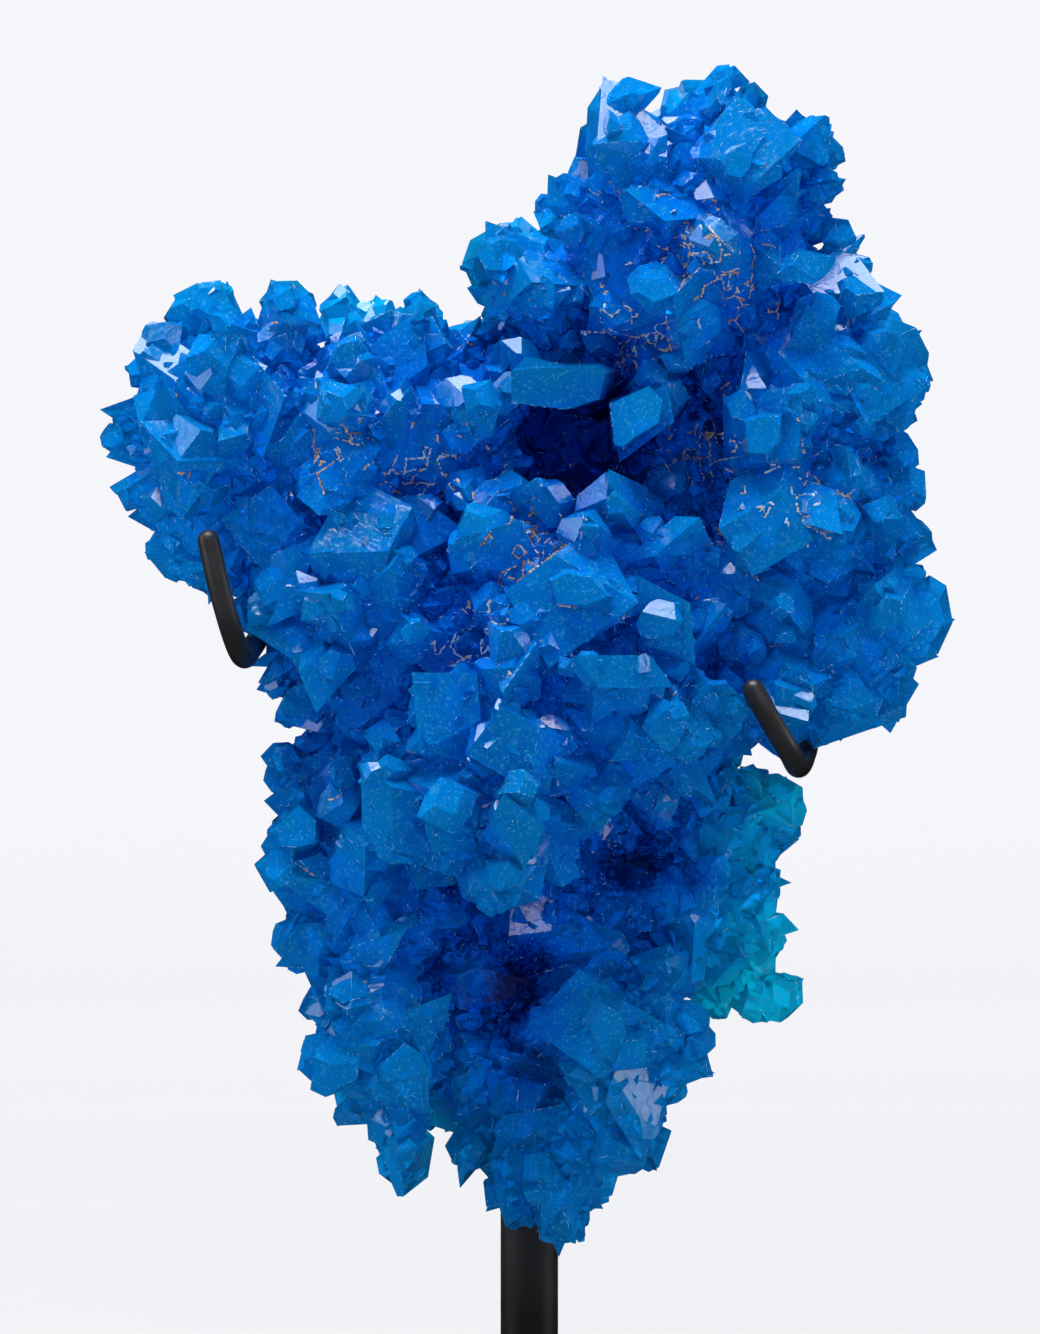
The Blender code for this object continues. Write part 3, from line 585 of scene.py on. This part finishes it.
def edge_rows(mesh):
    """Ends, the two face normals, length, and crease (more than nothing where it is hollow) of every edge."""
    def column(items, name, width=1, kind=np.int32):
        values = np.empty(len(items) * width, kind)
        items.foreach_get(name, values)
        return values.reshape(-1, width) if width > 1 else values

    corners = column(mesh.vertices, "co", 3, np.float32)
    normals = column(mesh.polygons, "normal", 3, np.float32)
    middles = column(mesh.polygons, "center", 3, np.float32)
    owners = np.repeat(np.arange(len(mesh.polygons)), column(mesh.polygons, "loop_total"))
    edge_of_loop = column(mesh.loops, "edge_index")
    order = np.argsort(edge_of_loop, kind="stable")
    last = np.cumsum(np.bincount(edge_of_loop, minlength=len(mesh.edges))) - 1
    pairs = owners[order[np.stack([np.maximum(last - 1, 0), last], axis=1)]]
    ends = corners[column(mesh.edges, "vertices", 2)]
    first, second = normals[pairs[:, 0]], normals[pairs[:, 1]]
    hollow = np.sign(((middles[pairs[:, 1]] - ends[:, 0]) * first).sum(axis=1))
    crease = hollow * np.arccos(np.clip((first * second).sum(axis=1), -1, 1))
    return ends, first, second, np.linalg.norm(ends[:, 1] - ends[:, 0], axis=1), crease


def patchy(places, random, waves=14, shortest=5 * MM, longest=22 * MM):
    """A number between about -2 and 2 that changes slowly from place to place: many sine waves added up."""
    pushes = random.normal(0, 1, (waves, 3))
    pushes /= np.linalg.norm(pushes, axis=1, keepdims=True) * random.uniform(shortest, longest, (waves, 1))
    phases = random.uniform(0, 2 * math.pi, waves)
    return np.sin(2 * math.pi * places @ pushes.T + phases).sum(axis=1) / math.sqrt(waves / 2)


def chips(ends, firsts, seconds, widths, shape, random):
    """Each chip is a spindle along its edge: a point, rings of corners at uneven widths, a point. Also returned are
    one chip's triangles."""
    lift, alongs, sides = shape
    count = len(ends)
    start = ends[:, 0]
    run = ends[:, 1] - start
    up = firsts + seconds
    up /= np.linalg.norm(up, axis=1, keepdims=True) + 1e-9
    side = np.cross(up, run)
    side /= np.linalg.norm(side, axis=1, keepdims=True) + 1e-9
    start = start + up * (lift * widths)[:, None]
    angle = 2 * math.pi * np.arange(sides) / sides
    rings = []
    for along in alongs:
        wide, high = (widths[:, None] * random.uniform(0.6, 1.3, (count, 1)) for _ in range(2))
        middle = start + run * along + side * (widths * random.uniform(-0.6, 0.6, count))[:, None]
        across = side[:, None] * (wide * np.cos(angle))[..., None]
        across += up[:, None] * (0.7 * high * np.sin(angle))[..., None]
        rings.append(middle[:, None] + across)
    places = np.concatenate([start[:, None], *rings, (start + run)[:, None]], axis=1)
    around = np.arange(sides)
    after = (around + 1) % sides
    last = sides * (len(alongs) - 1) + 1
    faces = [np.stack([0 * around, 1 + after, 1 + around], axis=1)]
    for low in range(1, last, sides):
        faces.append(np.stack([low + around, low + after, low + sides + after], axis=1))
        faces.append(np.stack([low + around, low + sides + after, low + sides + around], axis=1))
    faces.append(np.stack([last + sides + 0 * around, last + around, last + after], axis=1))
    return places, np.concatenate(faces)


def broken_up(ends, step, reach, random):
    """Short pieces strung along each edge, one per step and each a little askew, and the edge each lies on."""
    run = ends[:, 1] - ends[:, 0]
    lengths = np.linalg.norm(run, axis=1)
    owners = np.repeat(np.arange(len(ends)), np.ceil(lengths / step).astype(int))
    count = len(owners)
    middles = ends[owners, 0] + run[owners] * random.uniform(0, 1, (count, 1))
    half = run[owners] / lengths[owners][:, None] + random.normal(0, 0.3, (count, 3))
    half *= random.uniform(*reach, (count, 1)) / 2
    return np.stack([middles - half, middles + half], axis=1), owners


def chosen_edges(middles, lengths, creases, near, random):
    """Edges of each kind. Veins lie in the creases that the crust places, slow patches, height and chance favour,
    seams in a few others, and pale chips along sharp edges that stand out, partly frost on worn edges and partly a
    painted highlight."""
    field = patchy(middles, random)
    favour = 0.9 * near.max(axis=1) + 0.10 * field + 0.12 * np.clip((middles[:, 2] - 0.12) / 0.04, -1, 1)
    chance = random.uniform(0, 1, len(middles))
    branches = patchy(middles, random, 14, 1.6 * MM, 6 * MM)
    veins = (creases > SHARP) & (lengths > 0.2 * MM) & (favour + 0.22 * branches + 0.2 * chance > 0.8)
    seams = (creases > SHARP) & ~veins & (chance < 0.10 + 0.1 * branches)
    rims_frost_and_highlight = (creases < -SHARP) & (lengths > 0.8 * MM) & (chance < 0.12 + 0.2 * favour)
    return {"veins": veins, "seams": seams, "rims_frost_and_highlight": rims_frost_and_highlight}


def crust_mesh(mesh):
    """All the chips as one mesh, with a tint: tan at 0, white in the middle, pale blue at 1."""
    random = np.random.default_rng(31)
    ends, firsts, seconds, lengths, creases = edge_rows(mesh)
    middles = ends.mean(axis=1)
    spots = np.array(CRUST_PLACES)
    aside = ((middles[:, None, ::2] / MM - spots[:, :2]) ** 2).sum(axis=2) / spots[:, 2] ** 2
    near = np.exp(-aside) * (middles[:, None, 1] < 5 * MM)
    corners, triangles, tints, total = [], [], [], 0
    for kind, rows in chosen_edges(middles, lengths, creases, near, random).items():
        step, reach, widths, *shape = CHIP_KINDS[kind]
        bits, owners = broken_up(ends[rows], step, reach, random)
        count = len(bits)
        places, faces = chips(
            bits, firsts[rows][owners], seconds[rows][owners], random.uniform(*widths, count), shape, random,
        )
        tint = (near[rows] * spots[:, 3]).sum(axis=1)[owners] + random.uniform(0, 0.5, count)
        # Seams and edge chips run whitish to pale blue; on the sharp edges this pale is partly a painted highlight
        if kind != "veins":
            tint = random.uniform(0.7, 1.0, count)
        size = places.shape[1]
        tints.append(np.repeat(tint, size))
        triangles.append((faces + total + size * np.arange(count)[:, None, None]).reshape(-1, 3))
        corners.append(places.reshape(-1, 3))
        total += count * size
    crust = bpy.data.meshes.new("crust")
    crust.from_pydata(np.concatenate(corners), [], np.concatenate(triangles))
    tint = crust.attributes.new("tint", "FLOAT", "POINT")
    tint.data.foreach_set("value", np.concatenate(tints))
    return crust


def crust_material():
    """Matt mineral dust: tan through white to a pale blue by the chip's own tint, mottled by fine noise. On the
    chips along sharp edges the pale end is partly a painted highlight.
    """
    made = bpy.data.materials.new("matrix_crust")
    made.use_nodes = True
    tree = made.node_tree
    shader = tree.nodes["Principled BSDF"]
    place = add_node(tree, "TexCoord").outputs["Object"]
    tint = add_node(tree, "Attribute", {"attribute_name": "tint"}).outputs["Fac"]
    mottle = add_node(tree, "TexNoise", Vector=place, Scale=900, Detail=3).outputs[0]
    share = add_node(tree, "Math", {"operation": "MULTIPLY_ADD"}, _0=mottle, _1=0.5, _2=tint).outputs[0]
    share = add_node(tree, "Math", {"operation": "SUBTRACT"}, _0=share, _1=0.25).outputs[0]
    colour = colour_ramp(tree, share, (
        (0.0, (0.20, 0.16, 0.05)), (0.2, (0.42, 0.27, 0.14)), (0.5, (0.62, 0.55, 0.45)),
        (0.75, (0.30, 0.60, 0.85)), (1.0, (0.08, 0.42, 0.85)),
    ))
    tree.links.new(colour, shader.inputs["Base Color"])
    shader.inputs["Roughness"].default_value = 0.7
    bump = add_node(tree, "Bump", Height=mottle, Distance=0.1 * MM, Strength=0.5)
    tree.links.new(bump.outputs[0], shader.inputs["Normal"])
    return made


crust = bpy.data.objects.new("matrix_crust", crust_mesh(specimen.data))
bpy.context.scene.collection.objects.link(crust)
crust.data.materials.append(crust_material())
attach(crust, "root")


# The wire: 3 mm steel wire bent cold by hand into a hook at each end and powder coated satin black. It runs
# through the post's cross hole, where it is glued, and its ends are filed round.
def tube_mesh(name, path, radius, sides=28, cap=5):
    """A circle carried square along the path, its ends closed by half balls. Its frame turns only as far as the
    path does from one ring to the next."""
    path = path[np.concatenate([[True], np.linalg.norm(np.diff(path, axis=0), axis=1) > 1e-7])]
    tangents = np.gradient(path, axis=0)
    tangents /= np.linalg.norm(tangents, axis=1, keepdims=True)
    side = np.cross(tangents[0], (0, 1, 0))
    sides_along = []
    for tangent in tangents:
        side = side - tangent * (side @ tangent)
        side = side / np.linalg.norm(side)
        sides_along.append(side)
    bend = np.arange(cap) / cap * math.pi / 2
    index = np.concatenate([np.zeros(cap, int), np.arange(len(path)), np.full(cap, len(path) - 1)])
    push = np.concatenate([-np.cos(bend), np.zeros(len(path)), np.sin(bend[1:]), [1]])
    size = np.sqrt(np.clip(1 - push**2, 0, 1))
    size[[0, -1]] = 0.02
    x = np.array(sides_along)[index]
    z = tangents[index]
    y = np.cross(z, x)
    angle = np.linspace(0, 2 * math.pi, sides, endpoint=False)
    circle = x[:, None] * np.cos(angle)[:, None] + y[:, None] * np.sin(angle)[:, None]
    middles = path[index] + z * (push * radius)[:, None]
    return closed_rings(name, middles[:, None] + circle * (size * radius)[:, None, None])


def closed_rings(name, rings):
    """Skin over a stack of rings of corners, with the first and last ring filled in."""
    count, sides = rings.shape[:2]
    start = (np.arange(count - 1) * sides)[:, None]
    around = np.arange(sides)
    after = (around + 1) % sides
    quads = np.stack([start + around, start + after, start + sides + after, start + sides + around], axis=2)
    faces = quads.reshape(-1, 4).tolist()
    faces += [around[::-1].tolist(), (around + (count - 1) * sides).tolist()]
    mesh = bpy.data.meshes.new(name)
    mesh.from_pydata(rings.reshape(-1, 3), [], faces)
    mesh.shade_smooth()
    return mesh


def powder_coat():
    """Satin black polyester: a fine orange peel, and dust that lightens it in soft patches."""
    made = bpy.data.materials.new("black_powder_coat")
    made.use_nodes = True
    tree = made.node_tree
    shader = tree.nodes["Principled BSDF"]
    place = add_node(tree, "TexCoord").outputs["Object"]
    peel = add_node(tree, "TexNoise", Vector=place, Scale=1100, Detail=2).outputs[0]
    dust = add_node(tree, "TexNoise", Vector=place, Scale=60, Detail=5, Roughness=0.65).outputs[0]
    black = colour_ramp(tree, dust, ((0.35, (0.010, 0.010, 0.011)), (0.75, (0.022, 0.022, 0.025))))
    tree.links.new(black, shader.inputs["Base Color"])
    rough = add_node(tree, "MapRange", Value=dust, From_Min=0.3, From_Max=0.7, To_Min=0.36, To_Max=0.48)
    tree.links.new(rough.outputs[0], shader.inputs["Roughness"])
    bump = add_node(tree, "Bump", Height=peel, Distance=0.05 * MM, Strength=0.25)
    tree.links.new(bump.outputs[0], shader.inputs["Normal"])
    return made


coat = powder_coat()


def add_stand_piece(name, mesh, node):
    mesh.materials.append(coat)
    made = bpy.data.objects.new(name, mesh)
    bpy.context.scene.collection.objects.link(made)
    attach(made, "root")
    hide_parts(node)
    return made


add_stand_piece("hooked_wire", tube_mesh("hooked_wire", route_points(WIRE_ROUTE, 10), WIRE_RADIUS), "prong_wire")


# The post: 8 mm steel rod with a turned chamfer at the top and a cross hole for the wire, coated as the wire is
HOLE_HEIGHT = 138.2 * MM
# Profiles of radius and height, in mm
POST_PROFILE = (
    (3.6, 3.3), (4, 3.7), (4, 60), (4, 110), (4, 134), (4, 142), (4, 151.2), (3.93, 151.5), (3.75, 151.75),
    (3.4, 152),
)
DRILL_PROFILE = ((2.2, -8), (2.2, 8))


def turned_mesh(name, profile, sides=72):
    """A profile of radius and height turned round the upright axis through the post."""
    radius, height = np.array(profile, float).T * MM
    angle = np.linspace(0, 2 * math.pi, sides, endpoint=False)
    rings = np.empty((len(radius), sides, 3))
    rings[..., 0] = radius[:, None] * np.cos(angle)
    rings[..., 1] = ROD_Y + radius[:, None] * np.sin(angle)
    rings[..., 2] = height[:, None]
    return closed_rings(name, rings)


post = add_stand_piece("post", turned_mesh("post", POST_PROFILE), "rod")
drill = bpy.data.objects.new("drill", turned_mesh("drill", DRILL_PROFILE, 32))
drill.data.transform(
    Matrix.Translation((0, ROD_Y, HOLE_HEIGHT)) @ Matrix.Rotation(math.pi / 2, 4, "Y")
    @ Matrix.Translation((0, -ROD_Y, 0))
)
cut = post.modifiers.new("cross_hole", "BOOLEAN")
cut.object, cut.solver = drill, "EXACT"
bpy.context.scene.collection.objects.link(drill)
holed = bpy.data.meshes.new_from_object(post.evaluated_get(bpy.context.evaluated_depsgraph_get()))
post.modifiers.clear()
post.data = holed
bpy.data.objects.remove(drill)
post.data.set_sharp_from_angle(angle=math.radians(30))


# The foot: a 90 mm square steel block 12 mm thick with eased edges and a blind socket that the post is glued into
FOOT_HALF = 45 * MM
FOOT_CORNER = 3 * MM
# Rings from below to the socket's floor, in mm: inset from the block's side, height
FOOT_PROFILE = (
    (6, 0), (0.8, 0), (0.25, 0.2), (0, 0.7), (0, 10.8), (0.12, 11.35), (0.45, 11.8), (1.1, 12), (6, 12),
)
# Radius, height
SOCKET_PROFILE = ((4.9, 12), (4.5, 11.9), (4.15, 11.5), (4.15, 4), (4.15, 3.2))


def foot_mesh():
    """Rounded squares set in step by step up the side and over the top, then circles down into the socket."""
    angle = np.linspace(0, 2 * math.pi, 96, endpoint=False) + math.pi / 96
    ray = np.stack([np.cos(angle), np.sin(angle)], axis=1)
    rings = []
    for inset, height in np.array(FOOT_PROFILE) * MM:
        half, corner = FOOT_HALF - inset, max(FOOT_CORNER - inset, 0.5 * MM)
        square = ray / np.abs(ray).max(axis=1, keepdims=True) * half
        pull = np.clip(np.abs(square) - (half - corner), 0, None)
        length = np.linalg.norm(pull, axis=1)
        scale = np.where(length > corner, corner / np.maximum(length, 1e-9), 1)
        core = np.clip(np.abs(square), 0, half - corner)
        flat = np.sign(square) * (core + pull * scale[:, None])
        rings.append(np.concatenate([flat, np.full((len(flat), 1), height)], axis=1))
    for radius, height in np.array(SOCKET_PROFILE) * MM:
        flat = ray * radius + (0, ROD_Y)
        rings.append(np.concatenate([flat, np.full((len(flat), 1), height)], axis=1))
    return closed_rings("foot_block", np.array(rings))


foot = add_stand_piece("foot_block", foot_mesh(), "base")
foot.data.set_sharp_from_angle(angle=math.radians(40))


# The photographer's white sweep, soft light from above and both sides, and the camera level with the specimen.
# The sweep's wall stands far enough back for views from behind to be taken before it.
SWEEP_BACK, SWEEP_RADIUS, SWEEP_HEIGHT, SWEEP_HALF = 3.2, 1.3, 4.4, 4.5
# The paper's own glow, which evens it out as the photo's backdrop is: distance from the foot in m, strength
GLOW = ((0.4, 0.0), (0.57, 0.05), (1.03, 0.29), (1.5, 0.45), (2.0, 0.545), (3.0, 0.58))
AIM = (0, 0, 0.13)
VIEW_DISTANCE = 1.3
VIEW_X = -1.3 * MM
VIEW_HEIGHT = 130.1 * MM
LENS = 258
SENSOR = 36


def plain_material(name, colour, roughness):
    made = bpy.data.materials.new(name)
    made.use_nodes = True
    shader = made.node_tree.nodes["Principled BSDF"]
    shader.inputs["Base Color"].default_value = (*colour, 1)
    shader.inputs["Roughness"].default_value = roughness
    return made


def sweep_mesh():
    """A floor that runs back, bends up through a quarter circle and ends as a wall, carried along X."""
    angles = np.linspace(0, math.pi / 2, 17)
    bend = SWEEP_RADIUS * np.stack([np.sin(angles), 1 - np.cos(angles)], axis=1) + (SWEEP_BACK, 0)
    profile = np.concatenate([[[-SWEEP_HALF, 0]], bend, [[SWEEP_BACK + SWEEP_RADIUS, SWEEP_HEIGHT]]])
    grid = np.empty((len(profile), 2, 3))
    grid[..., 0] = (-SWEEP_HALF, SWEEP_HALF)
    grid[..., 1] = profile[:, :1]
    grid[..., 2] = profile[:, 1:]
    rows = np.arange(len(profile) - 1)[:, None] * 2
    faces = rows + np.array([0, 1, 3, 2])
    mesh = bpy.data.meshes.new("sweep")
    mesh.from_pydata(grid.reshape(-1, 3), [], faces.tolist())
    mesh.shade_smooth()
    return mesh


sweep = bpy.data.objects.new("sweep", sweep_mesh())
bpy.context.scene.collection.objects.link(sweep)
paper = plain_material("white_paper", (0.5, 0.5, 0.505), 0.7)
tree = paper.node_tree
place = add_node(tree, "TexCoord").outputs["Object"]
away = add_node(tree, "VectorMath", {"operation": "LENGTH"}, _0=place).outputs["Value"]
away = add_node(tree, "Math", {"operation": "DIVIDE"}, _0=away, _1=SWEEP_HALF).outputs[0]
glow = colour_ramp(tree, away, [(distance / SWEEP_HALF, (level,) * 3) for distance, level in GLOW])
shader = tree.nodes["Principled BSDF"]
tree.links.new(glow, shader.inputs["Emission Strength"])
shader.inputs["Emission Color"].default_value = (0.97, 0.97, 1.0, 1)
sweep.data.materials.append(paper)
sweep.visible_glossy = False


def soft_light(name, place, size, power):
    lamp = bpy.data.lights.new(name, "AREA")
    lamp.shape = "RECTANGLE"
    lamp.size, lamp.size_y = size
    lamp.energy = power
    made = bpy.data.objects.new(name, lamp)
    made.location = place
    made.rotation_euler = (Vector(AIM) - Vector(place)).to_track_quat("-Z", "Y").to_euler()
    bpy.context.scene.collection.objects.link(made)


soft_light("overhead", (-0.15, -0.05, 1.3), (0.9, 0.8), 28)
soft_light("left_side", (-1.2, -0.2, 0.7), (0.5, 0.9), 4.5)
soft_light("right_side", (1.3, -0.1, 0.6), (0.4, 0.8), 4.5)

# A pale surround that lights the specimen, and the paper's white where the camera looks past the sweep's edge
world = bpy.data.worlds.new("studio")
world.use_nodes = True
world.cycles_visibility.glossy = False
tree = world.node_tree
surround = tree.nodes["Background"]
surround.inputs["Color"].default_value = (0.93, 0.95, 1.0, 1)
surround.inputs["Strength"].default_value = 0.65
beyond = tree.nodes.new("ShaderNodeBackground")
beyond.inputs["Color"].default_value = (0.905, 0.905, 0.94, 1)
camera_ray = add_node(tree, "LightPath").outputs["Is Camera Ray"]
either = add_node(tree, "MixShader", _0=camera_ray, _1=surround.outputs[0], _2=beyond.outputs[0])
tree.links.new(either.outputs[0], tree.nodes["World Output"].inputs["Surface"])
bpy.context.scene.world = world
bpy.context.scene.view_settings.view_transform = "Standard"
# Light that has crossed three surfaces adds little to what is seen in the crystals, and takes long to follow
paths = bpy.context.scene.cycles
paths.max_bounces = paths.transmission_bounces = 3
paths.diffuse_bounces = paths.glossy_bounces = 2

lens = bpy.data.cameras.new("camera")
lens.sensor_fit = "VERTICAL"
lens.sensor_height = SENSOR
lens.lens = LENS
lens.clip_start = 0.05
camera = bpy.data.objects.new("camera", lens)
camera.location = (VIEW_X, -VIEW_DISTANCE, VIEW_HEIGHT)
camera.rotation_euler = (math.pi / 2, 0, 0)
bpy.context.scene.collection.objects.link(camera)
bpy.context.scene.camera = camera
